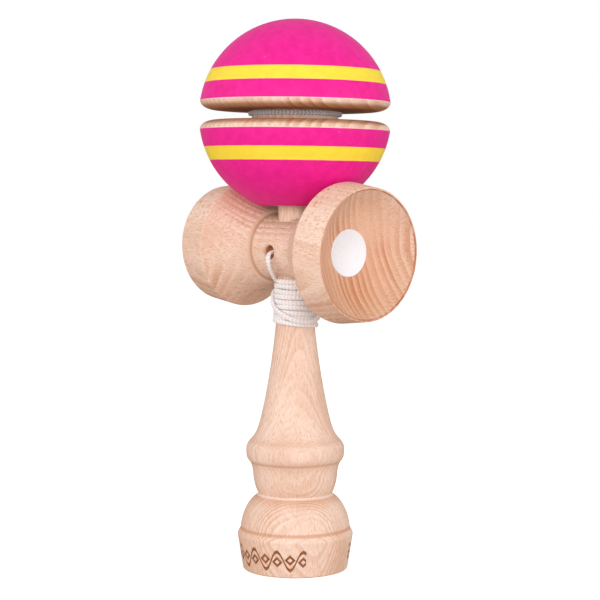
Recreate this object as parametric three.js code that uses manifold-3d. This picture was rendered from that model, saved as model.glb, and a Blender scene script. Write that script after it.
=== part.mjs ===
// A kendama with a grooved ball: a turned handle with a spike, a crosspiece with two
// cups, a ball with a string groove round its middle, and a string wound on the neck.
// Units are millimetres. +Z runs up the handle. The crosspiece runs along X, with the
// big cup at +X. The string hole in the crosspiece faces -Y.
import * as THREE from 'three';
import { mergeVertices } from 'three/addons/utils/BufferGeometryUtils.js';
import Module from 'manifold-3d';

// ---- Driving dimensions ----
const GAP = 0.3; // left between touching pieces
const TURN_SIDES = 48; // facets round a turned piece

const BALL_R = 30;
const BALL_Z = 142.4; // height of the ball's centre
const BALL_TILT = [-0.0098, 0.0086, 0]; // radians: the ball sits a little askew
const BALL_HOLE_R = 11; // at the mouth
const BALL_HOLE_END_R = 9.6;
const BALL_HOLE_TOP = 8; // above the ball's centre, where the drill's cone starts
const BALL_HOLE_TIP = 13.5;
const GROOVE_HALF = 1.6; // half the slot's width
const GROOVE_CORE_R = 13.5;
const GROOVE_FLAT_R = 25; // where the slot's flat faces start to round over
const GROOVE_RIM_HALF = 4.45; // half the groove's width at the ball's surface

const CROSS_Z = 101.05; // height of the crosspiece's axis
const CROSS_LEAN = THREE.MathUtils.degToRad(1.65); // and so does the crosspiece
const WAIST_R = 10;
const WAIST_HALF = 9;
const COLLAR_R = 11.7; // the small step at the foot of each cup
const COLLAR_X = 9.55;
const BIG_CUP = { ridgeX: 23.3, ridgeR: 21.6, faceX: 33.75, faceR: 20.2, lip: 0.6, depth: 10.2 };
const SMALL_CUP = { ridgeX: 23.0, ridgeR: 19.8, faceX: 34.2, faceR: 18.6, lip: 0.7, depth: 8 };
const CROSS_BORE_R = 6.2; // clears the spike when the crosspiece leans
const STRING_HOLE = { r: 2.2, x: -1.1, z: -0.95 }; // in the side of the waist, from its middle

const DISC_R = 7.26;
const DISC_THICKNESS = 0.3;

const BASE_R = 16.5;
const BASE_CUP_R = 14.7;
const BASE_CUP_DEPTH = 8;
const SPIKE_R = 5.25;
const SPIKE_TIP_R = 2.2;
const SPIKE_TOP = 150;
const HANDLE_HOLE_R = 1.3; // the string's way through the spike's foot
const KNOT_POCKET_R = 2.4; // the wider far end of that hole, which holds the knot

const STRING_R = 0.75;
const STRING_SIDES = 8;
const WINDING = { low: 77.3, high: 90, lowInner: 6.35, highInner: 5.8, lowOuter: 7.1, highOuter: 6.7 };
const LOOP = { inner: 13.8, outer: 14.65, low: -0.15, high: 1.25 }; // in the ball's own frame
const LOOP_KNOT = { start: 14.95, end: 19.2, r: 1.15, turn: 48.7 }; // turn: degrees from +Y
const STOPPER_KNOT = { start: 2.0, end: 4.9, r: 1.9 };

// The string's open stretches, as points chosen by hand.
const LEAD_ROUTE = [
  [0, 1.7, 101.05], [0, -2, 101.05], [0, -4.6, 101.0], [-0.1, -6.2, 100.8], [-0.3, -7.6, 100.5],
  [-0.3, -9.4, 100.1], [0.1, -10.9, 99.5], [0.5, -11.6, 98.2], [0.5, -11.4, 96.7],
  [0.1, -10.5, 95.1], [-0.6, -9.2, 93.7], [-1.4, -7.7, 92.4], [-2.1, -6.4, 91.4],
];
const RISER_ROUTE = [
  [0, 7.9, 87.6], [0, 9.6, 90.2], [0, 11.2, 93.6], [0, 12.1, 97.5], [0, 12.3, 101.5],
  [0, 12.1, 105.5], [-0.1, 12.1, 109.0], [-0.9, 12.9, 112.0], [-3.2, 15.3, 114.9],
  [-7.4, 18.4, 117.9], [-12.8, 20.5, 122.3], [-18.0, 21.4, 128.3], [-21.9, 21.2, 134.7],
  [-23.4, 20.6, 139.6], [-22.5, 19.7, 142.3], [-20.2, 17.8, 143.05], [-17.4, 15.3, 142.95],
  [-14.7, 12.9, 142.95],
];

// ---- Colours ----
const BEECH = { color: 0xe3b58c, roughness: 0.55, metalness: 0 };
const PINK_PAINT = { color: 0xf0308f, roughness: 0.5, metalness: 0 };
const WHITE_DISC = { color: 0xefeff4, roughness: 0.45, metalness: 0 };
const WHITE_STRING = { color: 0xf2eef0, roughness: 0.9, metalness: 0 };

// ---- Outline helpers: each gives [radius, height] points ----

function curve(bezier, steps) {
  return bezier.getPoints(steps).map((point) => [point.x, point.y]);
}

function quadratic(start, control, end, steps = 6) {
  const points = [start, control, end].map(([r, h]) => new THREE.Vector2(r, h));
  return curve(new THREE.QuadraticBezierCurve(...points), steps);
}

function cubic(start, first, second, end, steps = 8) {
  const points = [start, first, second, end].map(([r, h]) => new THREE.Vector2(r, h));
  return curve(new THREE.CubicBezierCurve(...points), steps);
}

// An arc of an ellipse. Angles are in degrees: 0 points away from the axis, 90 up.
function arc(centre, radii, from, to, steps) {
  return Array.from({ length: steps + 1 }, (_, i) => {
    const angle = THREE.MathUtils.degToRad(from + ((to - from) * i) / steps);
    const radius = Math.max(0, centre[0] + radii[0] * Math.cos(angle));
    return [radius, centre[1] + radii[1] * Math.sin(angle)];
  });
}

// A dish of spherical bottom, from its middle out to its lip. up is 1 for a dish that
// opens upwards and -1 for one that opens downwards.
function dish(mouthR, depth, mouthHeight, up, steps = 8) {
  const sphereR = (mouthR ** 2 + depth ** 2) / (2 * depth);
  const halfAngle = THREE.MathUtils.radToDeg(Math.asin(mouthR / sphereR));
  const centre = [0, mouthHeight + up * (sphereR - depth)];
  return arc(centre, [sphereR, sphereR], -up * 90, -up * (90 - halfAngle), steps);
}

// ---- Solid helpers ----

// Turns an outline about Z. It starts and ends on the axis, or closes on itself.
function turned(outline, sides = TURN_SIDES) {
  const kept = outline.filter(([r, h], i) => {
    const last = outline[i - 1];
    return !last || Math.hypot(r - last[0], h - last[1]) > 0.01;
  });
  const points = kept.map(([r, h]) => new THREE.Vector2(r, h));
  return new THREE.LatheGeometry(points, sides).rotateX(Math.PI / 2);
}

function rod(radius, length, sides = 24) {
  return turned([[0, 0], [radius, 0], [radius, length], [0, length]], sides);
}

function tube(route, radius, sides, steps) {
  const section = new THREE.Shape(
    Array.from({ length: sides }, (_, i) => {
      const angle = (2 * Math.PI * i) / sides;
      return new THREE.Vector2(radius * Math.cos(angle), radius * Math.sin(angle));
    }),
  );
  const path = new THREE.CatmullRomCurve3(route.map((point) => new THREE.Vector3(...point)));
  return new THREE.ExtrudeGeometry(section, { steps, extrudePath: path, bevelEnabled: false });
}

const wasm = await Module();
wasm.setup();

function toSolid(geometry) {
  const bare = geometry.clone();
  bare.deleteAttribute('normal');
  bare.deleteAttribute('uv');
  const merged = mergeVertices(bare, 1e-4);
  const corners = Array.from(merged.index.array);
  const triangles = [];
  for (let i = 0; i < corners.length; i += 3) {
    const [a, b, c] = corners.slice(i, i + 3);
    if (a !== b && b !== c && c !== a) triangles.push(a, b, c);
  }
  return new wasm.Manifold(new wasm.Mesh({
    numProp: 3,
    vertProperties: new Float32Array(merged.attributes.position.array),
    triVerts: new Uint32Array(triangles),
  }));
}

function toGeometry(solid) {
  const { vertProperties, triVerts } = solid.getMesh();
  const geometry = new THREE.BufferGeometry();
  geometry.setAttribute('position', new THREE.BufferAttribute(vertProperties, 3));
  geometry.setIndex(new THREE.BufferAttribute(triVerts, 1));
  geometry.computeVertexNormals();
  return geometry;
}

function cut(geometry, ...cutters) {
  const solid = cutters.reduce((rest, cutter) => rest.subtract(toSolid(cutter)), toSolid(geometry));
  return toGeometry(solid);
}

function piece(name, geometry, look) {
  const mesh = new THREE.Mesh(geometry, new THREE.MeshStandardMaterial(look));
  mesh.name = name;
  return mesh;
}

// ---- Handle ----

const NECK_START = [11.41, 45.94];
const HANDLE_OUTLINE = [
  ...dish(BASE_CUP_R, BASE_CUP_DEPTH, 0, -1),
  [BASE_R - 0.3, 0], [BASE_R, 0.3],
  [18.3, 11.2], [17.3, 13.2], // the base ring and its sloping shoulder
  ...quadratic([17.3, 13.2], [16.3, 20.8], [11.6, 23.7], 7), // the dome
  ...quadratic([11.6, 23.7], [13.0, 26.2], [13.3, 30], 5), // the stem of the bead
  ...quadratic([13.3, 30], [13.5, 33], [14.55, 34.3], 4),
  ...quadratic([14.55, 34.3], [15.5, 35.2], [15.5, 37.1], 4), // the bead
  ...quadratic([15.5, 37.1], [15.5, 38.6], [15.3, 39.2], 3),
  ...cubic([15.3, 39.2], [14.35, 41.37], [12.81, 41.19], NECK_START, 7), // the shoulder
  ...cubic(NECK_START, [9.82, 51.02], [5.02, 75.37], [5.45, 93], 12), // the neck
  [SPIKE_R, 106], [SPIKE_R, 114],
  [SPIKE_TIP_R + 1.2, SPIKE_TOP - 2.5], [SPIKE_TIP_R, SPIKE_TOP], [0, SPIKE_TOP],
];

function handle() {
  const reach = 8; // past the spike's side
  const hole = rod(HANDLE_HOLE_R, 2 * reach).rotateX(Math.PI / 2).translate(0, reach, CROSS_Z);
  const pocketLength = reach - STOPPER_KNOT.start + GAP;
  const pocket = rod(KNOT_POCKET_R, pocketLength).rotateX(Math.PI / 2).translate(0, reach, CROSS_Z);
  return cut(turned(HANDLE_OUTLINE), hole, pocket);
}

// ---- Crosspiece, turned about its own length and then laid along X ----

const BIG_CUP_LIP_R = BIG_CUP.faceR - BIG_CUP.lip;
const SMALL_CUP_LIP_R = SMALL_CUP.faceR - SMALL_CUP.lip;
const CROSS_OUTLINE = [
  ...dish(SMALL_CUP_LIP_R, SMALL_CUP.depth, -SMALL_CUP.faceX, -1),
  [SMALL_CUP.faceR, -SMALL_CUP.faceX + SMALL_CUP.lip],
  ...quadratic([SMALL_CUP.ridgeR, -SMALL_CUP.ridgeX], [13.6, -16.3], [COLLAR_R, -COLLAR_X], 5),
  [WAIST_R + 0.3, -WAIST_HALF],
  [WAIST_R, -WAIST_HALF + 1], [WAIST_R, WAIST_HALF - 1],
  [WAIST_R + 0.3, WAIST_HALF],
  ...quadratic([COLLAR_R, COLLAR_X], [14.4, 16.4], [BIG_CUP.ridgeR, BIG_CUP.ridgeX], 5),
  [BIG_CUP.faceR, BIG_CUP.faceX - BIG_CUP.lip],
  ...dish(BIG_CUP_LIP_R, BIG_CUP.depth, BIG_CUP.faceX, 1).reverse(),
];

function crosspiece() {
  const body = turned(CROSS_OUTLINE).rotateY(Math.PI / 2);
  const reach = WAIST_R + 4;
  const bore = rod(CROSS_BORE_R, 2 * reach, 32).translate(0, 0, -reach);
  const stringHole = rod(STRING_HOLE.r, reach).rotateX(Math.PI / 2);
  stringHole.translate(STRING_HOLE.x, 0, STRING_HOLE.z);
  return cut(body, bore, stringHole);
}

// The printed disc follows the bottom of the big cup.
function cupDisc() {
  const sphereR = (BIG_CUP_LIP_R ** 2 + BIG_CUP.depth ** 2) / (2 * BIG_CUP.depth);
  const centre = [0, BIG_CUP.faceX - BIG_CUP.depth + sphereR];
  const edge = THREE.MathUtils.radToDeg(Math.asin(DISC_R / sphereR));
  const under = sphereR - GAP;
  const top = under - DISC_THICKNESS;
  const outline = [
    ...arc(centre, [under, under], -90, -90 + edge, 3),
    ...arc(centre, [top, top], -90 + edge, -90, 3),
  ];
  return turned(outline, 32).rotateY(Math.PI / 2);
}

// ---- Ball, about its own centre ----

function ball() {
  const rimAngle = THREE.MathUtils.radToDeg(Math.asin(GROOVE_RIM_HALF / BALL_R));
  const mouthAngle = THREE.MathUtils.radToDeg(Math.acos(BALL_HOLE_R / BALL_R));
  const rimR = Math.sqrt(BALL_R ** 2 - GROOVE_RIM_HALF ** 2);
  const roundOver = [rimR - GROOVE_FLAT_R, GROOVE_RIM_HALF - GROOVE_HALF];
  const outline = [
    [0, BALL_HOLE_TIP], [BALL_HOLE_END_R, BALL_HOLE_TOP],
    [BALL_HOLE_R - 0.5, -BALL_R * Math.sin(THREE.MathUtils.degToRad(mouthAngle)) + 1],
    ...arc([0, 0], [BALL_R, BALL_R], -mouthAngle, -rimAngle, 12),
    ...arc([GROOVE_FLAT_R, -GROOVE_RIM_HALF], roundOver, 0, 90, 5),
    [GROOVE_CORE_R, -GROOVE_HALF], [GROOVE_CORE_R, GROOVE_HALF],
    ...arc([GROOVE_FLAT_R, GROOVE_RIM_HALF], roundOver, -90, 0, 5),
    ...arc([0, 0], [BALL_R, BALL_R], rimAngle, 90, 14),
  ];
  return turned(outline);
}

// ---- String ----

function winding() {
  return turned([
    [WINDING.lowInner, WINDING.low], [WINDING.lowOuter, WINDING.low],
    [WINDING.highOuter, WINDING.high], [WINDING.highInner, WINDING.high],
    [WINDING.lowInner, WINDING.low],
  ], 32);
}

function stringLoop() {
  return turned([
    [LOOP.inner, LOOP.low], [LOOP.outer, LOOP.low], [LOOP.outer, LOOP.high],
    [LOOP.inner, LOOP.high], [LOOP.inner, LOOP.low],
  ]);
}

// A knot is a short turned bead along Y, fullest in the middle.
function knot({ start, end, r }) {
  const bead = arc([0, (start + end) / 2], [r, (end - start) / 2], -90, 90, 6);
  return turned(bead, 12).rotateX(-Math.PI / 2);
}

// ---- Assembly ----

const leaningCross = new THREE.Group();
leaningCross.position.z = CROSS_Z;
leaningCross.rotation.y = CROSS_LEAN;
leaningCross.add(piece('crosspiece', crosspiece(), BEECH));
leaningCross.add(piece('cup_disc', cupDisc(), WHITE_DISC));

const leaningBall = new THREE.Group();
leaningBall.position.z = BALL_Z;
leaningBall.rotation.set(...BALL_TILT);
leaningBall.add(piece('ball', ball(), PINK_PAINT));
leaningBall.add(piece('string_loop', stringLoop(), WHITE_STRING));

const loopKnot = piece('string_loop_knot', knot(LOOP_KNOT), WHITE_STRING);
loopKnot.position.z = (LOOP.low + LOOP.high) / 2 - 0.3;
loopKnot.rotation.z = THREE.MathUtils.degToRad(LOOP_KNOT.turn);
leaningBall.add(loopKnot);

const stopperKnot = piece('string_stopper_knot', knot(STOPPER_KNOT), WHITE_STRING);
stopperKnot.position.z = CROSS_Z;

const kendama = new THREE.Group();
kendama.add(piece('handle', handle(), BEECH));
kendama.add(leaningCross);
kendama.add(leaningBall);
kendama.add(stopperKnot);
kendama.add(piece('string_lead', tube(LEAD_ROUTE, STRING_R, STRING_SIDES, 14), WHITE_STRING));
kendama.add(piece('string_winding', winding(), WHITE_STRING));
kendama.add(piece('string_riser', tube(RISER_ROUTE, STRING_R, STRING_SIDES, 32), WHITE_STRING));

export default kendama;
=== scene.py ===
"""Looks of the kendama: turned beech, a painted grooved ball and a braided string."""
import math

import bpy
import numpy as np
from mathutils import Matrix, Vector


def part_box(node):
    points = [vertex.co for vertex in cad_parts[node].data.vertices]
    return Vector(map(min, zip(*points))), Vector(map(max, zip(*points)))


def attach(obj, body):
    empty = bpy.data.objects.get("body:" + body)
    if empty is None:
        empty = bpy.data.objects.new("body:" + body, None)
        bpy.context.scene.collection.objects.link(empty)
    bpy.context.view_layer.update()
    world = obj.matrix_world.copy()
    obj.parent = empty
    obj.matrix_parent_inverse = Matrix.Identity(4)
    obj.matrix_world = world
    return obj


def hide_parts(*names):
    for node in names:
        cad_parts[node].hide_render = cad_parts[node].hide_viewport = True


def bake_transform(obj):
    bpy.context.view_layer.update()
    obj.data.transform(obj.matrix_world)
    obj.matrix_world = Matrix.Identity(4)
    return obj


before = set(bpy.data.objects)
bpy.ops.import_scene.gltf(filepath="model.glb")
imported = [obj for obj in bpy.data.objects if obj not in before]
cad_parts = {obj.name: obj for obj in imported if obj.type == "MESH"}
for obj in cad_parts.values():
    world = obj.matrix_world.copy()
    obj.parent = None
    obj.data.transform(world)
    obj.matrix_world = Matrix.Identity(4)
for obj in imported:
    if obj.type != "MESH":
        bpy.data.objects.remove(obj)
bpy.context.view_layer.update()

MM = 0.001

# ---- Sizes, in millimetres, as in the CAD ----
CROSS_Z = 101.05
BALL_Z = 142.4
BALL_R = 30.0
HOLE_R = 11.0
HOLE_END_R = 9.6
GROOVE_HALF = 1.6
CORE_R = 13.5
GROOVE_FLAT_R = 25.0
GROOVE_RIM_HALF = 4.45
STRIPE_LOW = 9.9
STRIPE_HIGH = 14.0
WAIST_R = 10.0
STRING_HOLE_R = 2.2
STRING_HOLE_X = -1.1
STRING_HOLE_Z = 100.1
BIG_DISH_R = 19.6
BIG_DISH_DEPTH = 10.2
BIG_FACE_X = 33.75
SMALL_DISH_R = 17.9
SMALL_DISH_DEPTH = 8
SMALL_FACE_X = 34.2
DISC_R = 7.26
SPIKE_R = 5.25

CROSS_LEAN = Matrix.Rotation(math.radians(1.65), 4, "Y")
BALL_TILT = Matrix.Rotation(-0.0098, 4, "X") @ Matrix.Rotation(0.0086, 4, "Y")
CROSS_FRAME = Matrix.Translation((0, 0, CROSS_Z * MM)) @ CROSS_LEAN
BALL_FRAME = Matrix.Translation((0, 0, BALL_Z * MM)) @ BALL_TILT
ALONG_X = Matrix.Rotation(math.pi / 2, 4, "Y")


# ---- Outlines: lists of (radius, height) in millimetres ----

def quadratic(a, b, c, steps=16):
    a, b, c = (np.array(p, float) for p in (a, b, c))
    t = np.linspace(0, 1, steps + 1)[:, None]
    return [tuple(p) for p in (1 - t) ** 2 * a + 2 * (1 - t) * t * b + t * t * c]


def cubic(a, b, c, d, steps=24):
    a, b, c, d = (np.array(p, float) for p in (a, b, c, d))
    t = np.linspace(0, 1, steps + 1)[:, None]
    curve = (1 - t) ** 3 * a + 3 * (1 - t) ** 2 * t * b + 3 * (1 - t) * t * t * c + t ** 3 * d
    return [tuple(p) for p in curve]


def arc(centre, radii, start, end, steps):
    """Part of an ellipse. Angles in degrees: 0 points away from the axis, 90 up."""
    angles = np.radians(np.linspace(start, end, steps + 1))
    return [
        (max(0.0, centre[0] + radii[0] * math.cos(a)), centre[1] + radii[1] * math.sin(a))
        for a in angles
    ]


def dish(mouth_r, depth, mouth_height, up, steps=24):
    """A spherical hollow, from its middle out to its lip. up is 1 if it opens upwards."""
    sphere_r = (mouth_r ** 2 + depth ** 2) / (2 * depth)
    half = math.degrees(math.asin(mouth_r / sphere_r))
    centre = (0, mouth_height + up * (sphere_r - depth))
    return arc(centre, (sphere_r, sphere_r), -up * 90, -up * (90 - half), steps)


def softened(points, edges):
    """Rounds the named corners of an outline: edges is {(radius, height): rounding}."""
    result = []
    for i, point in enumerate(points):
        rounding = edges.get(point, 0)
        if not rounding or i in (0, len(points) - 1):
            result.append(point)
            continue
        here = np.array(point)
        back = np.array(points[i - 1]) - here
        ahead = np.array(points[i + 1]) - here
        reach_back = min(rounding, 0.5 * np.linalg.norm(back)) * back / np.linalg.norm(back)
        reach_ahead = min(rounding, 0.5 * np.linalg.norm(ahead)) * ahead / np.linalg.norm(ahead)
        result += quadratic(here + reach_back, here, here + reach_ahead, 5)
    return result


# ---- Meshes ----

def add_object(name, verts, faces, place=Matrix.Identity(4)):
    mesh = bpy.data.meshes.new(name)
    mesh.from_pydata([tuple(v) for v in verts], [], faces)
    mesh.validate()
    obj = bpy.data.objects.new(name, mesh)
    bpy.context.collection.objects.link(obj)
    obj.matrix_world = place
    return obj


def smooth(obj, sharp_degrees=35):
    obj.data.polygons.foreach_set("use_smooth", [True] * len(obj.data.polygons))
    obj.data.set_sharp_from_angle(angle=math.radians(sharp_degrees))
    obj.data.update()


def turned(name, outline, sides=160, turn=Matrix.Identity(4), place=Matrix.Identity(4)):
    """A closed solid turned about Z. The outline starts and ends on the axis."""
    outline = [p for i, p in enumerate(outline) if i == 0 or math.dist(p, outline[i - 1]) > 1e-4]
    verts, rows = [], []
    for radius, height in outline:
        count = sides if radius > 1e-6 else 1
        rows.append(range(len(verts), len(verts) + count))
        for k in range(count):
            angle = 2 * math.pi * k / sides
            point = Vector((radius * math.cos(angle), radius * math.sin(angle), height)) * MM
            verts.append(turn @ point)
    faces = []
    for low, high in zip(rows, rows[1:]):
        for k in range(sides):
            ring = [low[k % len(low)], low[(k + 1) % len(low)]]
            ring += [high[(k + 1) % len(high)], high[k % len(high)]]
            faces.append(list(dict.fromkeys(ring)))
    obj = add_object(name, verts, faces, place)
    smooth(obj)
    return obj


def bored(obj, radius_low, radius_high, start, end):
    """Cuts a round hole from start to end, points in the row frame in millimetres."""
    start, end = Vector(start) * MM, Vector(end) * MM
    length = (end - start).length
    bpy.ops.mesh.primitive_cone_add(
        vertices=64, radius1=radius_low * MM, radius2=radius_high * MM, depth=length
    )
    cutter = bpy.context.object
    cutter.matrix_world = Matrix.Translation((start + end) / 2) @ (
        (end - start).to_track_quat("Z", "Y").to_matrix().to_4x4()
    )
    modifier = obj.modifiers.new("hole", "BOOLEAN")
    modifier.object = cutter
    modifier.solver = "EXACT"
    bpy.context.view_layer.objects.active = obj
    bpy.ops.object.modifier_apply(modifier=modifier.name)
    bpy.data.objects.remove(cutter)
    smooth(obj)


# ---- Shader building ----

class Shader:
    """A material with one Principled BSDF, and short calls for the nodes that feed it."""

    def __init__(self, name, **constants):
        self.material = bpy.data.materials.new(name)
        self.material.use_nodes = True
        self.tree = self.material.node_tree
        self.bsdf = self.tree.nodes["Principled BSDF"]
        for socket, value in constants.items():
            self.bsdf.inputs[socket.replace("_", " ")].default_value = value

    def node(self, kind, inputs=None, **settings):
        made = self.tree.nodes.new("ShaderNode" + kind)
        for key, value in settings.items():
            setattr(made, key, value)
        for key, value in (inputs or {}).items():
            self.feed(made.inputs[key], value)
        return made

    def feed(self, socket, value):
        if isinstance(value, bpy.types.NodeSocket):
            self.tree.links.new(value, socket)
        else:
            socket.default_value = value

    def output(self, socket, value):
        self.tree.links.new(value, self.bsdf.inputs[socket])

    def math(self, operation, a, b=0.0, c=0.0):
        return self.node("Math", {0: a, 1: b, 2: c}, operation=operation).outputs[0]

    def vector(self, operation, a, b=(0, 0, 0)):
        return self.node("VectorMath", {0: a, 1: b}, operation=operation).outputs[0]

    def combine(self, x, y, z):
        return self.node("CombineXYZ", {0: x, 1: y, 2: z}).outputs[0]

    def split(self, vector):
        return self.node("SeparateXYZ", {0: vector}).outputs

    def noise(self, vector, scale, detail=3.0, roughness=0.5, colour=False):
        made = self.node(
            "TexNoise", {"Vector": vector, "Scale": scale, "Detail": detail, "Roughness": roughness}
        )
        return made.outputs["Color" if colour else "Fac"]

    def span(self, value, low, high, to_low=0.0, to_high=1.0):
        """Maps low..high to to_low..to_high smoothly, and holds the ends."""
        return self.node(
            "MapRange", {0: value, 1: low, 2: high, 3: to_low, 4: to_high},
            interpolation_type="SMOOTHSTEP",
        ).outputs[0]

    def mix(self, factor, a, b, blend="MIX"):
        made = self.node("Mix", data_type="RGBA", blend_type=blend)
        for socket, value in ((0, factor), (6, a), (7, b)):
            if isinstance(value, tuple):
                value = (*value, 1)
            self.feed(made.inputs[socket], value)
        return made.outputs[2]

    def bump(self, height, distance, strength=1.0):
        made = self.node("Bump", {"Height": height, "Distance": distance, "Strength": strength})
        self.output("Normal", made.outputs[0])

    def local_mm(self):
        place = self.node("TexCoord").outputs["Object"]
        return self.vector("MULTIPLY", place, (1000, 1000, 1000))


# ---- Beech ----

BEECH_PALE = (0.85, 0.66, 0.555)
BEECH_MID = (0.77, 0.545, 0.43)
BEECH_DEEP = (0.58, 0.29, 0.155)
BEECH_FLECK_AND_SHADE = (0.56, 0.235, 0.10)
END_GRAIN = (0.91, 0.77, 0.68)
# The ball's end grain, deepened to stand in for the shade inside its groove: part wood tone, part
# painted shade.
GROOVE_GRAIN_AND_SHADE = (0.64, 0.44, 0.31)


def beech(name, grain, pith, rings, ring_depth, fleck_depth, end_tone, seed, marks):
    """Beech as a solid block: growth rings round a pith line and thin ray flecks.

    grain is the axis that the fibres follow, and pith a point that the pith passes through,
    in local millimetres. rings is (a, b): a * reach + b * reach ** 2 rings lie within reach
    of the pith. ring_depth and fleck_depth set how dark they are along the grain. end_tone
    tints the end grain. marks(shader, place, colour) adds each part's marks and painted shade."""
    s = Shader(name, Roughness=0.56, IOR=1.45)
    place = s.local_mm()
    x, y, z = s.split(s.vector("SUBTRACT", place, pith))
    across, up, along = (y, z, x) if grain == "X" else (x, y, z)
    block = s.combine(across, up, along)

    # The pith wanders a little, so rings aren't perfect circles.
    wander = s.noise(s.vector("MULTIPLY", block, (0.05, 0.05, 0.012)), 1.0, 1.0, colour=True)
    wander = s.vector("MULTIPLY", s.vector("SUBTRACT", wander, (0.5, 0.5, 0.5)), (5, 5, 0))
    wx, wy, wz = s.split(s.vector("ADD", block, wander))
    reach = s.math("SQRT", s.math("ADD", s.math("MULTIPLY", wx, wx), s.math("MULTIPLY", wy, wy)))
    angle = s.math("ARCTAN2", wy, wx)

    # Growth rings: each deepens slowly outwards and ends in a thin pale line.
    drift = s.noise(s.combine(s.math("MULTIPLY", reach, 0.13), seed, 0.0), 1.0, 1.0)
    phase = s.math("MULTIPLY", reach, s.math("ADD", s.math("MULTIPLY", reach, rings[1]), rings[0]))
    phase = s.math("ADD", phase, s.math("MULTIPLY", drift, 1.6))
    ring = s.math("FRACT", phase)
    year = s.noise(s.combine(s.math("FLOOR", phase), seed, 3.7), 1.7, 0.0)
    late = s.math("MULTIPLY", s.span(ring, 0.05, 0.8), s.span(year, 0.25, 0.6, 0.4, 1.0))
    line = s.math("SUBTRACT", 1.0, band(s, ring, 0.5, 0.42, 0.07))
    patch = s.noise(s.vector("MULTIPLY", block, (0.055, 0.055, 0.02)), 1.0, 1.0)
    patch = s.span(patch, 0.36, 0.62, 0.25, 1.0)

    # Rays: ribbons that run out from the pith, thin across and short along the grain.
    around = s.math("MULTIPLY", angle, 42.0)

    def flecks(out, side, length, inner, outer):
        cells = s.node("TexVoronoi", {"Scale": 1.0, "Randomness": 1.0, "Vector": s.combine(
            s.math("MULTIPLY", reach, out), s.math("MULTIPLY", around, side),
            s.math("MULTIPLY", wz, length))})
        chosen = s.span(s.split(cells.outputs["Color"])[0], 0.15, 0.7)
        return s.math("MULTIPLY", s.span(cells.outputs["Distance"], inner, outer, 1.0, 0.0), chosen)

    large = flecks(0.16, 3.2, 0.42, 0.12, 0.36)
    fine = flecks(0.34, 5.0, 0.80, 0.14, 0.46)

    # Fibres and pores: fine streaks along the grain.
    fibre = s.noise(s.combine(
        s.math("MULTIPLY", wx, 2.3), s.math("MULTIPLY", wy, 2.3), s.math("MULTIPLY", wz, 0.35)
    ), 1.0, 6.0, 0.75)
    cloud = s.noise(s.vector("MULTIPLY", block, (0.09, 0.09, 0.035)), 1.0, 2.0)

    # Cut across the fibres, the wood is deeper in colour, with bolder rings and no flecks.
    facing = s.split(s.node("TexCoord").outputs["Normal"])["XYZ".index(grain)]
    end = s.span(s.math("ABSOLUTE", facing), 0.5, 0.9)
    side = s.math("MULTIPLY", s.span(end, 0.0, 1.0, 1.0, 0.1), fleck_depth)
    depth = s.math("ADD", s.math("MULTIPLY", end, 0.95 - 0.5 * ring_depth), 0.5 * ring_depth)
    depth = s.math("MULTIPLY", depth, patch)

    colour = s.mix(s.span(cloud, 0.3, 0.7), BEECH_MID, BEECH_PALE)
    colour = s.mix(s.math("MULTIPLY", late, depth), colour, BEECH_DEEP)
    colour = s.mix(s.math("MULTIPLY", line, depth), colour, BEECH_PALE)
    colour = s.mix(s.span(fibre, 0.50, 0.68, 0.0, 0.75), colour, BEECH_DEEP)
    colour = s.mix(s.span(fibre, 0.48, 0.28, 0.0, 0.6), colour, BEECH_PALE)
    colour = s.mix(s.math("MULTIPLY", fine, side), colour, BEECH_FLECK_AND_SHADE)
    colour = s.mix(s.math("MULTIPLY", large, side), colour, BEECH_FLECK_AND_SHADE)
    colour = s.mix(end, colour, end_tone, "MULTIPLY")
    s.output("Base Color", marks(s, place, colour))

    s.output("Roughness", s.span(fibre, 0.3, 0.7, 0.50, 0.66))
    relief = s.math("ADD", s.math("MULTIPLY", fibre, 0.5), s.math("MULTIPLY", late, 0.25))
    relief = s.math("SUBTRACT", relief, s.math("MULTIPLY", large, 0.3))
    s.bump(relief, 0.00006, 0.6)
    return s.material


def band(s, value, centre, half_width, feather):
    """1 within half_width of centre, falling to 0 over feather."""
    off = s.math("ABSOLUTE", s.math("SUBTRACT", value, centre))
    return s.span(off, half_width, half_width + feather, 1.0, 0.0)


BORDER_AT = math.radians(80)  # the middle of each border, round from +X
BORDER_R = 17.5
BORDER_HALF = 15.2
BORDER_Z = 5.5
WAVE_LENGTH = 8.2
WAVE_RISE = 2.9
LOZENGE_SPACING = 4.1


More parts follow.
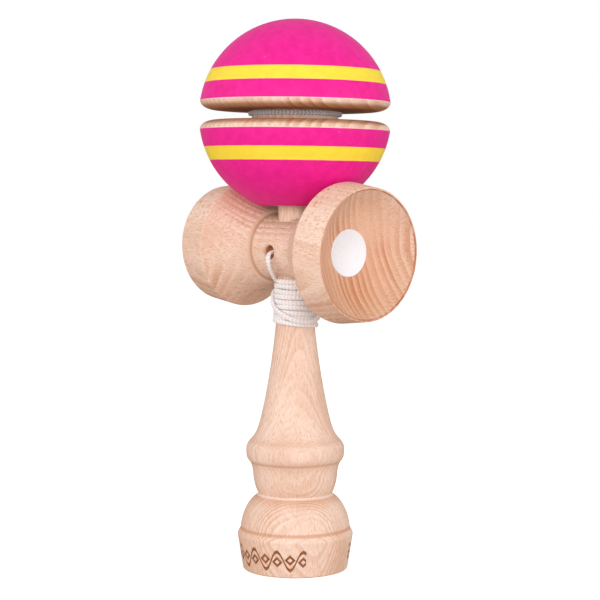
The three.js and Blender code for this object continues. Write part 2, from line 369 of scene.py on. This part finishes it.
def handle_marks(s, place, colour):
    """A dusty ring in the narrow groove, painted shade as thin dark lines at two steps, and burnt
    borders.
    """
    x, y, z = s.split(place)
    dust = s.math("MULTIPLY", band(s, z, 23.75, 0.2, 0.35), s.span(s.noise(place, 0.8), 0.1, 0.5))
    colour = s.mix(s.math("MULTIPLY", dust, 0.6), colour, (0.90, 0.78, 0.70))
    # Painted shade: thin dark lines in the crease above the base ring and under the bead.
    colour = s.mix(s.math("MULTIPLY", band(s, z, 13.15, 0.2, 0.6), 0.6), colour, BEECH_FLECK_AND_SHADE)
    colour = s.mix(s.math("MULTIPLY", band(s, z, 34.1, 0.1, 0.45), 0.3), colour, BEECH_FLECK_AND_SHADE)

    # Two borders on the base ring: a wavy line with a lozenge in every bend.
    turn = s.math("ABSOLUTE", s.math("ARCTAN2", y, x))
    along = s.math("MULTIPLY", s.math("SUBTRACT", turn, BORDER_AT), BORDER_R)
    within = band(s, along, 0.0, BORDER_HALF, 0.1)
    bend = s.math("SINE", s.math("MULTIPLY", along, 2 * math.pi / WAVE_LENGTH))
    height = s.math("SUBTRACT", z, BORDER_Z)
    line = band(s, s.math("SUBTRACT", height, s.math("MULTIPLY", bend, WAVE_RISE)), 0.0, 0.42, 0.25)
    slot = s.math("FRACT", s.math("DIVIDE", along, LOZENGE_SPACING))
    side = s.math("ABSOLUTE", s.math("MULTIPLY", s.math("SUBTRACT", slot, 0.5), LOZENGE_SPACING))
    drop = s.math("ABSOLUTE", s.math("ADD", height, s.math("MULTIPLY", s.math("SIGN", bend), 0.35)))
    lozenge = band(s, s.math("ADD", side, drop), 1.25, 0.38, 0.22)
    mark = s.math("MULTIPLY", s.math("MAXIMUM", line, lozenge), within)
    patch = s.span(s.noise(place, 1.1, 3.0), 0.3, 0.6, 0.0, 1.0)
    burn = s.mix(patch, (0.36, 0.12, 0.025), (0.20, 0.065, 0.02))
    return s.mix(mark, colour, burn)


def cross_marks(s, place, colour):
    """A line inside the big cup's lip, a burnished step with a painted shadow line at its foot,
    and painted shade low in the big dish and inside the string hole."""
    x, y, z = s.split(place)
    radius = s.math("SQRT", s.math("ADD", s.math("MULTIPLY", y, y), s.math("MULTIPLY", z, z)))
    # Painted shade: the big dish grows darker towards its bottom.
    low = s.math("MULTIPLY", s.span(z, 8.0, -14.0), s.span(x, 22.0, 23.0))
    low = s.math("MULTIPLY", low, s.span(radius, 20.5, 19.0, 0.0, 0.8))
    colour = s.mix(low, colour, (0.86, 0.74, 0.62), "MULTIPLY")
    lip = s.math("MULTIPLY", band(s, radius, 19.55, 0.1, 0.14), s.span(x, 30.0, 32.0))
    broken = s.span(s.noise(place, 0.35, 4.0), 0.35, 0.6, 0.35, 1.0)
    colour = s.mix(s.math("MULTIPLY", lip, broken), colour, (0.42, 0.15, 0.09))
    step = s.math("MULTIPLY", band(s, x, -9.3, 0.35, 0.1), 0.85)
    colour = s.mix(step, colour, (0.74, 0.52, 0.40))
    # Painted shadow: a dark line at the foot of the step, where the waist meets it.
    foot_shadow = s.math("MULTIPLY", band(s, x, -9.0, 0.1, 0.25), 0.6)
    colour = s.mix(foot_shadow, colour, (0.42, 0.19, 0.09))
    # Painted shade inside the string hole.
    hole_shade = s.math("MULTIPLY", s.span(radius, 9.5, 9.1), band(s, x, STRING_HOLE_X, 2.2, 0.2))
    return s.mix(hole_shade, colour, (0.80, 0.52, 0.32), "MULTIPLY")


def ball_marks(s, place, colour):
    """The pale sanded edge beside the paint."""
    z = s.math("ABSOLUTE", s.split(place)[2])
    return s.mix(s.span(z, 4.0, 4.35, 0.0, 0.45), colour, (0.86, 0.66, 0.60))


# ---- Handle ----

BASE_R = 16.5
BASE_CUP_R = 14.7
BASE_CUP_DEPTH = 8
SPIKE_TOP = 150
NECK_START = (11.41, 45.94)
NECK = cubic(NECK_START, (9.82, 51.02), (5.02, 75.37), (5.45, 93), 60)


def neck_radius(height):
    return float(np.interp(height, [p[1] for p in NECK], [p[0] for p in NECK]))


def make_handle():
    outline = [
        *dish(BASE_CUP_R, BASE_CUP_DEPTH, 0, -1),
        (BASE_R, 0), (18.3, 11.2), (17.3, 13.1), (17.28, 13.3),
        *quadratic((17.3, 13.4), (16.3, 20.8), (11.6, 23.7)),
        *quadratic((11.6, 23.8), (13.0, 26.2), (13.3, 30)),
        *quadratic((13.3, 30), (13.5, 33), (14.55, 34.3)),
        *quadratic((14.55, 34.3), (15.5, 35.2), (15.5, 37.1)),
        *quadratic((15.5, 37.1), (15.5, 38.6), (15.3, 39.2), 8),
        *cubic((15.3, 39.2), (14.35, 41.37), (12.81, 41.19), NECK_START),
        *NECK,
        (SPIKE_R, 106), (SPIKE_R, 114), (3.4, 147.5), (2.2, SPIKE_TOP), (0, SPIKE_TOP),
    ]
    edges = {
        (BASE_R, 0): 0.6, (18.3, 11.2): 0.5, (17.3, 13.1): 0.15,
        (3.4, 147.5): 0.8, (2.2, SPIKE_TOP): 0.7,
    }
    handle = turned("handle_turned", softened(outline, edges))
    bored(handle, 1.3, 1.3, (0, 9, CROSS_Z), (0, -9, CROSS_Z))
    bored(handle, 2.4, 2.4, (0, 9, CROSS_Z), (0, 1.7, CROSS_Z))
    handle.data.materials.append(
        beech("beech_handle", "Z", (-51, 32, 0), (1.35, 0), 1.15, 0.2, END_GRAIN, 1.0, handle_marks)
    )
    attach(handle, "handle_set")
    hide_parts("handle")


# ---- Crosspiece and its disc ----

def make_crosspiece():
    big_lip = (20.2, BIG_FACE_X)
    small_lip = (18.6, -SMALL_FACE_X)
    outline = [
        *dish(SMALL_DISH_R, SMALL_DISH_DEPTH, -SMALL_FACE_X, -1),
        small_lip,
        *quadratic((19.8, -23.0), (13.6, -16.3), (11.7, -9.55)),
        (10.4, -9.0),
        *quadratic((10.1, -8.6), (WAIST_R, -8.0), (WAIST_R, -7.0), 5),
        *quadratic((WAIST_R, 7.0), (WAIST_R, 8.0), (10.1, 8.6), 5),
        (10.4, 9.0),
        *quadratic((11.7, 9.55), (14.4, 16.4), (21.6, 23.3)),
        big_lip,
        *dish(BIG_DISH_R, BIG_DISH_DEPTH, BIG_FACE_X, 1)[::-1],
    ]
    edges = {
        small_lip: 0.5, big_lip: 0.35, (19.8, -23.0): 0.5, (21.6, 23.3): 0.45,
        (11.7, -9.55): 0.3, (11.7, 9.55): 0.3,
    }
    cross = turned("crosspiece_turned", softened(outline, edges), turn=ALONG_X, place=CROSS_FRAME)
    bored(cross, 5.62, 5.38, (0, 0, CROSS_Z - 14), (0, 0, CROSS_Z + 14))
    inner, mouth, outer = ((STRING_HOLE_X, y, STRING_HOLE_Z) for y in (0, -9.4, -14))
    bored(cross, STRING_HOLE_R, STRING_HOLE_R, outer, inner)
    bored(cross, STRING_HOLE_R + 3.0, STRING_HOLE_R, outer, mouth)
    cross.data.materials.append(
        beech("beech_cross", "X", (0, -44, -16), (0.46, 0), 1.3, 0.72, END_GRAIN, 5.0, cross_marks)
    )
    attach(cross, "handle_set")
    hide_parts("crosspiece")


def make_disc():
    """A thin printed disc that follows the bottom of the big cup."""
    sphere_r = (BIG_DISH_R ** 2 + BIG_DISH_DEPTH ** 2) / (2 * BIG_DISH_DEPTH)
    centre = (0, BIG_FACE_X - BIG_DISH_DEPTH + sphere_r)
    edge = math.degrees(math.asin(DISC_R / sphere_r))
    under, top = sphere_r - 0.02, sphere_r - 0.26
    outline = [
        *arc(centre, (under, under), -90, -90 + edge, 16),
        *arc(centre, (top, top), -90 + edge * 0.985, -90, 16),
    ]
    disc = turned("cup_disc_print", outline, sides=96, turn=ALONG_X, place=CROSS_FRAME)
    s = Shader("disc_print", Roughness=0.42, IOR=1.46)
    place = s.local_mm()
    grain = s.noise(place, 2.4, 3.0)
    s.output("Base Color", s.mix(s.span(grain, 0.3, 0.7), (0.77, 0.78, 0.84), (0.82, 0.83, 0.88)))
    s.output("Roughness", s.span(grain, 0.3, 0.7, 0.38, 0.5))
    s.bump(grain, 0.00002, 0.5)
    disc.data.materials.append(s.material)
    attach(disc, "handle_set")
    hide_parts("cup_disc")


# ---- Ball ----

def paint():
    """Satin paint: pink, with a yellow stripe on each half."""
    s = Shader("ball_paint", Roughness=0.46, IOR=1.5, Specular_IOR_Level=0.14)
    place = s.local_mm()
    height = s.math("ABSOLUTE", s.split(place)[2])
    wobble = s.math("MULTIPLY", s.math("SUBTRACT", s.noise(place, 0.25, 2.0), 0.5), 0.12)
    height = s.math("ADD", height, wobble)
    middle = (STRIPE_LOW + STRIPE_HIGH) / 2
    stripe = band(s, height, middle, (STRIPE_HIGH - STRIPE_LOW) / 2 - 0.05, 0.1)
    mottle = s.noise(place, 0.35, 5.0, 0.6)
    pink = s.mix(s.span(mottle, 0.35, 0.65), (0.76, 0.012, 0.26), (0.82, 0.018, 0.29))
    yellow = s.mix(s.span(mottle, 0.35, 0.65), (0.88, 0.66, 0.05), (0.92, 0.70, 0.06))
    specks = s.node("TexVoronoi", {"Vector": place, "Scale": 0.42, "Randomness": 1.0})
    chosen = s.span(s.split(specks.outputs["Color"])[0], 0.80, 0.85)
    speck = s.math("MULTIPLY", s.span(specks.outputs["Distance"], 0.035, 0.07, 1.0, 0.0), chosen)
    colour = s.mix(stripe, pink, yellow)
    s.output("Base Color", s.mix(s.math("MULTIPLY", speck, 0.35), colour, (0.95, 0.80, 0.82)))
    peel = s.noise(place, 1.6, 4.0, 0.6)
    s.output("Roughness", s.span(peel, 0.3, 0.7, 0.42, 0.52))
    relief = s.math("ADD", s.math("MULTIPLY", peel, 0.6), s.math("MULTIPLY", stripe, 0.6))
    s.bump(relief, 0.00003, 0.5)
    return s.material


def make_ball():
    rim_angle = math.degrees(math.asin(GROOVE_RIM_HALF / BALL_R))
    mouth_angle = math.degrees(math.acos(HOLE_R / BALL_R))
    rim_r = math.sqrt(BALL_R ** 2 - GROOVE_RIM_HALF ** 2)
    round_over = (rim_r - GROOVE_FLAT_R, GROOVE_RIM_HALF - GROOVE_HALF)
    inner_low, inner_high = (CORE_R, -GROOVE_HALF), (CORE_R, GROOVE_HALF)
    hole = [(0, 13.5), (HOLE_END_R, 8), (HOLE_R - 0.5, -26.9)]
    groove = [
        *arc((GROOVE_FLAT_R, -GROOVE_RIM_HALF), round_over, 0, 90, 14),
        inner_low, inner_high,
        *arc((GROOVE_FLAT_R, GROOVE_RIM_HALF), round_over, -90, 0, 14),
    ]
    outline = softened([
        *hole,
        *arc((0, 0), (BALL_R, BALL_R), -mouth_angle, -rim_angle, 40),
        *groove,
        *arc((0, 0), (BALL_R, BALL_R), rim_angle, 90, 48),
    ], {inner_low: 0.4, inner_high: 0.4, (HOLE_END_R, 8): 0.8})
    ball = turned("ball_turned", outline, place=BALL_FRAME)
    ball.data.materials.append(paint())
    ball.data.materials.append(
        beech("beech_ball", "Z", (-38, -32, 0), (0.40, 0), 1.5, 0.3, GROOVE_GRAIN_AND_SHADE, 9.0, ball_marks)
    )
    painted_r = (BALL_R - 0.02) * MM
    for face in ball.data.polygons:
        corners = [ball.data.vertices[v].co for v in face.vertices]
        face.material_index = 0 if all(c.length > painted_r for c in corners) else 1
    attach(ball, "ball")
    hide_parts("ball")


# ---- String ----

LEAD_ROUTE = [
    (0, 1.7, 101.05), (0, -2, 101.05), (0, -4.6, 101.0), (-0.1, -6.2, 100.8), (-0.3, -7.6, 100.5),
    (-0.3, -9.4, 100.1), (0.1, -10.9, 99.5), (0.5, -11.6, 98.2), (0.5, -11.4, 96.7),
    (0.1, -10.5, 95.1), (-0.6, -9.2, 93.7), (-1.4, -7.7, 92.4), (-2.1, -6.4, 91.4),
]
RISER_ROUTE = [
    (0, 7.9, 87.6), (0, 9.6, 90.2), (0, 11.2, 93.6), (0, 12.1, 97.5), (0, 12.3, 101.5),
    (0, 12.1, 105.5), (-0.1, 12.1, 109.0), (-0.9, 12.9, 112.0), (-3.2, 15.3, 114.9),
    (-7.4, 18.4, 117.9), (-12.8, 20.5, 122.3), (-18.0, 21.4, 128.3), (-21.9, 21.2, 134.7),
    (-23.4, 20.6, 139.6), (-22.5, 19.7, 142.3), (-20.2, 17.8, 143.05), (-17.4, 15.3, 142.95),
    (-14.7, 12.9, 142.95),
]
STRAND_TALL = 1.6  # a wound strand is pressed flat: tall along the neck, thin across
STRAND_THIN = 1.14
FREE_WIDE = 1.55
FREE_THIN = 1.1
LEAD_SWELL = 0.35  # the lead is this much wider at the middle of its free stretch
LOOP_WIDE = 1.4
WOUND_BELOW = 91.4  # height under which the string lies on the neck
LEAD_MIDDLE_Z = 96.8
LEAD_HALF = 3.6
GROOVE_ABOVE = 140  # height over which the string lies in the ball's groove
PLAIT = 1.15  # length of one plait along the string
PLAIT_HEIGHT = 0.16
TURN_PITCH = 1.59
LOOP_Z = 0.6  # height of the loop in the groove, from the ball's centre
LOOP_R = 14.1
KNOT_TURN = 48.7  # degrees from +Y round to the loop's knot
TURN_POINTS = 16
TUBE_SIDES = 20


def on_neck(degrees, height, layer=0):
    """A point on the wound neck. layer 1 lies over the first turns."""
    angle = math.radians(degrees)
    wobble = 0.10 * math.sin(0.83 * angle + 1.3) * math.sin(2.31 * angle)
    height += wobble
    radius = neck_radius(height) + STRAND_THIN * (0.5 + 0.96 * layer) + 0.6 * abs(wobble)
    return (radius * math.cos(angle), radius * math.sin(angle), height)


def winding_route():
    """Eight and a half turns down the neck, then a loose one up the back and down in front."""
    first, last = -104, 8 * 360 + 60
    top = 91.0
    steps = round((last - first) / (360 / TURN_POINTS))
    route = []
    for k in range(steps + 1):
        degrees = first + (last - first) * k / steps
        height = top - TURN_PITCH * (degrees - first) / 360
        loose = min(1.0, max(0.0, (degrees - last) / 500 + 1))
        height -= 0.55 * loose * math.cos(math.radians(degrees - 30))
        route.append(on_neck(degrees, height))
    over = [
        (85, 77.2, 0.0), (110, 77.6, 0.45), (130, 79.5, 0.95), (150, 82.0, 1.0), (170, 84.6, 1.0),
        (187, 86.6, 1.0), (202, 87.4, 1.0), (215, 86.8, 1.0), (229, 85.5, 1.0), (242, 84.1, 1.0),
        (256, 82.9, 1.0), (270, 81.8, 1.0), (285, 80.8, 1.0), (301, 79.9, 1.0), (316, 79.1, 1.0),
        (335, 78.6, 1.0), (355, 78.6, 1.0), (375, 79.0, 1.0), (395, 79.9, 1.0), (415, 81.3, 1.0),
        (432, 83.0, 1.0), (445, 84.9, 1.05),
    ]
    return route + [on_neck(*point) for point in over]


def loop_route():
    """Once round the ball's core, from the knot at the back and round to it again."""
    turns = [(17.6, 2, 0.5), (15.6, 6, LOOP_Z)]
    turns += [(LOOP_R, degrees, LOOP_Z) for degrees in range(14, 352, 13)]
    route = []
    for radius, degrees, height in turns:
        angle = math.radians(90 + KNOT_TURN - degrees)
        point = Vector((radius * math.cos(angle), radius * math.sin(angle), height))
        route.append(tuple(BALL_FRAME @ (point * MM) / MM))
    return route


def spline(points, spacing):
    """A Catmull-Rom curve through the points, cut into even steps."""
    p = np.array(points, float)
    p = np.vstack([2 * p[0] - p[1], p, 2 * p[-1] - p[-2]])
    t = np.linspace(0, 1, 24, endpoint=False)[:, None]
    pieces = []
    for a, b, c, d in zip(p, p[1:], p[2:], p[3:]):
        pieces.append(0.5 * (
            2 * b + (c - a) * t + (2 * a - 5 * b + 4 * c - d) * t ** 2
            + (3 * b - a - 3 * c + d) * t ** 3
        ))
    dense = np.vstack(pieces + [p[-2][None]])
    run = np.concatenate([[0], np.cumsum(np.linalg.norm(np.diff(dense, axis=0), axis=1))])
    even = np.linspace(0, run[-1], round(run[-1] / spacing) + 1)
    return np.stack([np.interp(even, run, dense[:, k]) for k in range(3)], axis=1), run[-1]


def braid(along, turn):
    """How far the braid's V-shaped plaits stand out: 0 in the valleys to 1 on the crests."""
    column = 2 * np.abs((turn * 4) % 1 - 0.5)
    plait = 0.5 + 0.5 * np.cos(2 * math.pi * (along / PLAIT + 0.62 * column))
    return plait * (1 - 0.5 * np.exp(-((column - 1) / 0.2) ** 2))


def set_values(obj, name, values):
    """Stores a number at every vertex, for the material to read."""
    layer = obj.data.attributes.new(name, "FLOAT", "POINT")
    layer.data.foreach_set("value", values)


def braided_tube(name, centres, wide, thin, outward, sides=TUBE_SIDES):
    """A braided strand along centres. wide and thin are its widths, outward its thin side."""
    tangents = np.gradient(centres, axis=0)
    tangents /= np.linalg.norm(tangents, axis=1)[:, None]
    run = np.concatenate([[0], np.cumsum(np.linalg.norm(np.diff(centres, axis=0), axis=1))])
    verts, crests = [], []
    normal = outward(centres[0], None)
    turn = np.arange(sides) / sides
    for i, (centre, tangent) in enumerate(zip(centres, tangents)):
        normal = outward(centre, normal)
        normal = normal - tangent * np.dot(normal, tangent)
        normal /= np.linalg.norm(normal)
        side = np.cross(tangent, normal)
        end = min(1.0, 0.35 + min(run[i], run[-1] - run[i]) / 0.5)
        crest = braid(run[i], turn)
        crests.append(crest)
        half_wide = (wide[i] / 2 - PLAIT_HEIGHT / 2) * end + PLAIT_HEIGHT * crest
        half_thin = (thin[i] / 2 - PLAIT_HEIGHT / 2) * end + PLAIT_HEIGHT * crest
        out = (np.cos(2 * math.pi * turn) * half_thin)[:, None] * normal
        sideways = (np.sin(2 * math.pi * turn) * half_wide)[:, None] * side
        verts.append(centre + out + sideways)
    verts = np.vstack(verts) * MM
    count = len(centres)
    faces = []
    for low in range(0, (count - 1) * sides, sides):
        high = low + sides
        for k in range(sides):
            after = (k + 1) % sides
            faces.append([low + k, low + after, high + after, high + k])
    faces.append(list(range(sides))[::-1])
    faces.append([(count - 1) * sides + k for k in range(sides)])
    obj = add_object(name, verts, faces)
    smooth(obj, 180)
    set_values(obj, "crest", np.concatenate(crests))
    return obj


def string_material():
    s = Shader("string_braid", Roughness=0.85, IOR=1.5, Sheen_Weight=0.25, Sheen_Roughness=0.5)
    place = s.local_mm()
    fibre = s.noise(place, 4.5, 4.0, 0.7)
    soil = s.noise(place, 0.12, 3.0)
    crest = s.node("Attribute", attribute_name="crest").outputs["Fac"]
    in_groove = s.node("Attribute", attribute_name="in_groove").outputs["Fac"]
    shade = s.span(in_groove, 0, 1, 0.42, 0.8)
    # Painted shade: the braid's valleys are darker, and darker still in the groove.
    valley_shade = s.math("MULTIPLY", s.span(crest, 0.0, 0.7, 1.0, 0.0), shade)
    colour = s.mix(s.span(fibre, 0.3, 0.7), (0.80, 0.77, 0.78), (0.95, 0.93, 0.94))
    colour = s.mix(s.span(soil, 0.45, 0.8, 0.0, 0.2), colour, (0.80, 0.74, 0.72))
    # Painted shade: the string is greyer where it lies in the ball's groove.
    colour = s.mix(s.math("MULTIPLY", in_groove, 0.5), colour, (0.62, 0.57, 0.61))
    valley_shade_colour = s.mix(in_groove, (0.55, 0.45, 0.42), (0.22, 0.17, 0.18))
    s.output("Base Color", s.mix(valley_shade, colour, valley_shade_colour))
    s.output("Roughness", s.span(fibre, 0.3, 0.7, 0.8, 0.95))
    s.bump(fibre, 0.00008, 0.7)
    return s.material


def trefoil(name, centre, size, strand, material, place=Matrix.Identity(4)):
    """A small pulled-tight knot that fills a box of the given size, in millimetres."""
    t = np.linspace(0, 2 * math.pi, 220)
    across = np.sin(t) + 2 * np.sin(2 * t)
    up = np.cos(t) - 2 * np.cos(2 * t)
    shape = np.stack([across, up, -np.sin(3 * t)], 1)
    shape = shape / np.abs(shape).max(0) * (np.array(size) - strand) / 2
    shape = shape[:, [0, 2, 1]] if size[1] < size[2] else shape
    centres = np.array(centre) + shape
    middle = np.array(centre)

    def outward(point, _last):
        away = point - middle
        return away / (np.linalg.norm(away) + 1e-9)

    flat = np.full(len(centres), strand)
    knot = braided_tube(name, centres, flat, flat, outward, sides=14)
    knot.matrix_world = place
    knot.data.materials.append(material)
    return knot


def make_string():
    route = [(0, 3.4, 101.05)] + LEAD_ROUTE + winding_route() + RISER_ROUTE + loop_route()
    centres, length = spline(route, 0.17)

    # The strand is flat on the neck, and rounder where it hangs free.
    wound = (centres[:, 2] < WOUND_BELOW).astype(float)
    wound = np.convolve(np.pad(wound, 20, mode="edge"), np.ones(41) / 41, "valid")
    off_middle = (centres[:, 2] - LEAD_MIDDLE_Z) / LEAD_HALF
    middle = np.clip(1 - off_middle ** 2, 0, 1) * (centres[:, 1] < -7)
    inside = centres[:, 2] > GROOVE_ABOVE
    wide = FREE_WIDE + (STRAND_TALL - FREE_WIDE) * wound
    wide += LEAD_SWELL * middle
    wide[inside] = LOOP_WIDE
    thin = np.where(inside, FREE_THIN, FREE_THIN + (STRAND_THIN - FREE_THIN) * wound)

    def outward(point, last):
        flat = np.array([point[0], point[1], 0.0])
        reach = np.linalg.norm(flat)
        if last is None or (abs(point[0]) < 0.2 and abs(point[1]) < 10.4 and point[2] > 100):
            return np.array([0.0, 0.0, 1.0])
        if reach < 1e-6:
            return last
        return 0.75 * last + 0.25 * flat / reach

    material = string_material()
    string = braided_tube("string_braided", centres, wide, thin, outward)
    string.data.materials.append(material)
    # How far the string lies inside the ball's groove, for the painted shade there.
    groove_shade_amount = np.clip((28 - np.hypot(centres[:, 0], centres[:, 1])) / 4, 0, 1) * inside
    set_values(string, "in_groove", np.repeat(groove_shade_amount, TUBE_SIDES))
    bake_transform(string)
    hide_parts("string_lead", "string_winding", "string_riser", "string_loop")

    low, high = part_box("string_stopper_knot")
    stopper = trefoil(
        "string_stopper", (low + high) / 2 / MM, (high - low) / MM, 1.3, material)
    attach(stopper, "handle_set")
    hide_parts("string_stopper_knot")
    back = BALL_FRAME @ Matrix.Rotation(math.radians(KNOT_TURN), 4, "Z")
    tie = trefoil("string_tie", (0, 17.1, 0.25), (2.2, 4.2, 2.2), 0.95, material, back)
    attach(tie, "loop")
    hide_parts("string_loop_knot")

    return length


# ---- Stage ----

CAMERA_DISTANCE = 0.526
CAMERA_AZIMUTH = math.radians(48.84)
CAMERA_HEIGHT = 0.1207
CAMERA_PITCH = math.radians(3.896)
CAMERA_YAW = math.radians(-0.164)
CAMERA_LENS = 100.66


def make_camera():
    camera = bpy.data.objects.new("camera", bpy.data.cameras.new("camera"))
    bpy.context.collection.objects.link(camera)
    camera.data.sensor_width = 36
    camera.data.lens = CAMERA_LENS
    camera.data.clip_start = 0.01
    camera.location = (
        CAMERA_DISTANCE * math.sin(CAMERA_AZIMUTH),
        -CAMERA_DISTANCE * math.cos(CAMERA_AZIMUTH),
        CAMERA_HEIGHT,
    )
    camera.rotation_euler = (math.pi / 2 - CAMERA_PITCH, 0, CAMERA_AZIMUTH + CAMERA_YAW)
    bpy.context.scene.camera = camera


def area_light(name, azimuth, elevation, distance, size, power):
    light = bpy.data.objects.new(name, bpy.data.lights.new(name, "AREA"))
    light.data.shape = "SQUARE"
    light.data.size = size
    light.data.energy = power
    a, e = math.radians(azimuth), math.radians(elevation)
    aim = Vector((0, 0, 0.09))
    away = Vector((math.sin(a) * math.cos(e), -math.cos(a) * math.cos(e), math.sin(e)))
    light.location = aim + away * distance
    light.rotation_euler = away.to_track_quat("Z", "Y").to_euler()
    bpy.context.collection.objects.link(light)


def by_camera(tree, seen, unseen):
    """A colour that the camera sees as seen, and that lights the object as unseen."""
    mix = tree.nodes.new("ShaderNodeMix")
    mix.data_type = "RGBA"
    mix.inputs[6].default_value = unseen
    mix.inputs[7].default_value = seen
    path = tree.nodes.new("ShaderNodeLightPath")
    tree.links.new(path.outputs["Is Camera Ray"], mix.inputs[0])
    return mix.outputs[2]


def make_stage():
    """A pale floor in an even white studio. Both bounce less light than they show, so the
    undersides stay as deep as they are over a table."""
    size = 3.0
    floor = add_object("floor", [
        (-size, -size, 0), (size, -size, 0), (size, size, 0), (-size, size, 0)], [[0, 1, 2, 3]])
    s = Shader("floor_pale", Roughness=0.9)
    s.bsdf.inputs["Specular IOR Level"].default_value = 0.0
    s.output("Base Color", by_camera(s.tree, (0.97, 0.97, 0.97, 1), (0.56, 0.45, 0.38, 1)))
    s.output("Emission Color", by_camera(s.tree, (0.5, 0.5, 0.5, 1), (0, 0, 0, 1)))
    s.bsdf.inputs["Emission Strength"].default_value = 1.0
    floor.data.materials.append(s.material)
    world = bpy.data.worlds.new("studio")
    world.use_nodes = True
    background = world.node_tree.nodes["Background"]
    tone = by_camera(world.node_tree, (1, 1, 1, 1), (0.57, 0.56, 0.55, 1))
    world.node_tree.links.new(tone, background.inputs[0])
    bpy.context.scene.world = world
    bpy.context.scene.view_settings.view_transform = "Standard"
    area_light("key", 44, 6, 1.1, 0.7, 8.1)
    area_light("right", 112, 3, 1.3, 1.0, 8.8)
    area_light("left", -20, 3, 1.3, 1.0, 7.2)
    area_light("overhead", 0, 90, 1.6, 2.6, 2.5)


make_camera()
make_stage()
make_handle()
make_crosspiece()
make_disc()
make_ball()
make_string()
